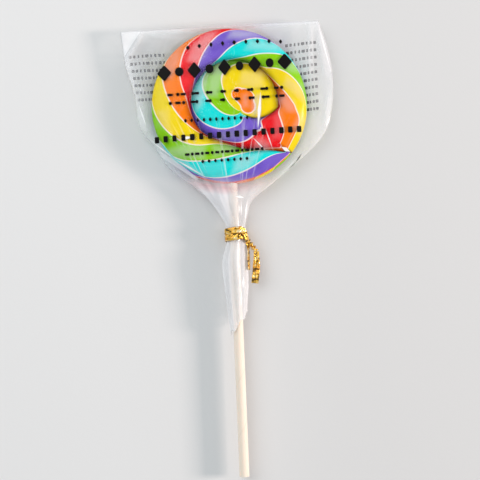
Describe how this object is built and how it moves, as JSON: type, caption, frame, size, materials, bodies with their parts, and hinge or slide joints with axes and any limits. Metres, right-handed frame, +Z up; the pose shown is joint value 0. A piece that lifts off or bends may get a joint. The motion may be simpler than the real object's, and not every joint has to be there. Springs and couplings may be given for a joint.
{
  "type": "wrapped swirl lollipop",
  "caption": "Flat spiral lollipop in rainbow colours on a white paper stick, in a clear film bag tied below the candy with a twisted gold ribbon.",
  "frame": {"origin": "on the flat underside of the bag, below the centre of the candy disc", "axes": "+Y from the free end of the stick towards the candy, +Z up out of the shown side, +X to the right of the shown side"},
  "size_m": [0.0854, 0.1833, 0.0102],
  "materials": {
    "candy_sugar": "gloss",
    "white_paper": "matte",
    "clear_film": "clear gloss",
    "gold_foil": "polished"
  },
  "bodies": {
    "root": {"candy": "candy_sugar", "stick": "white_paper", "bag": "clear_film", "tie": "gold_foil"}
  },
  "joints": []
}
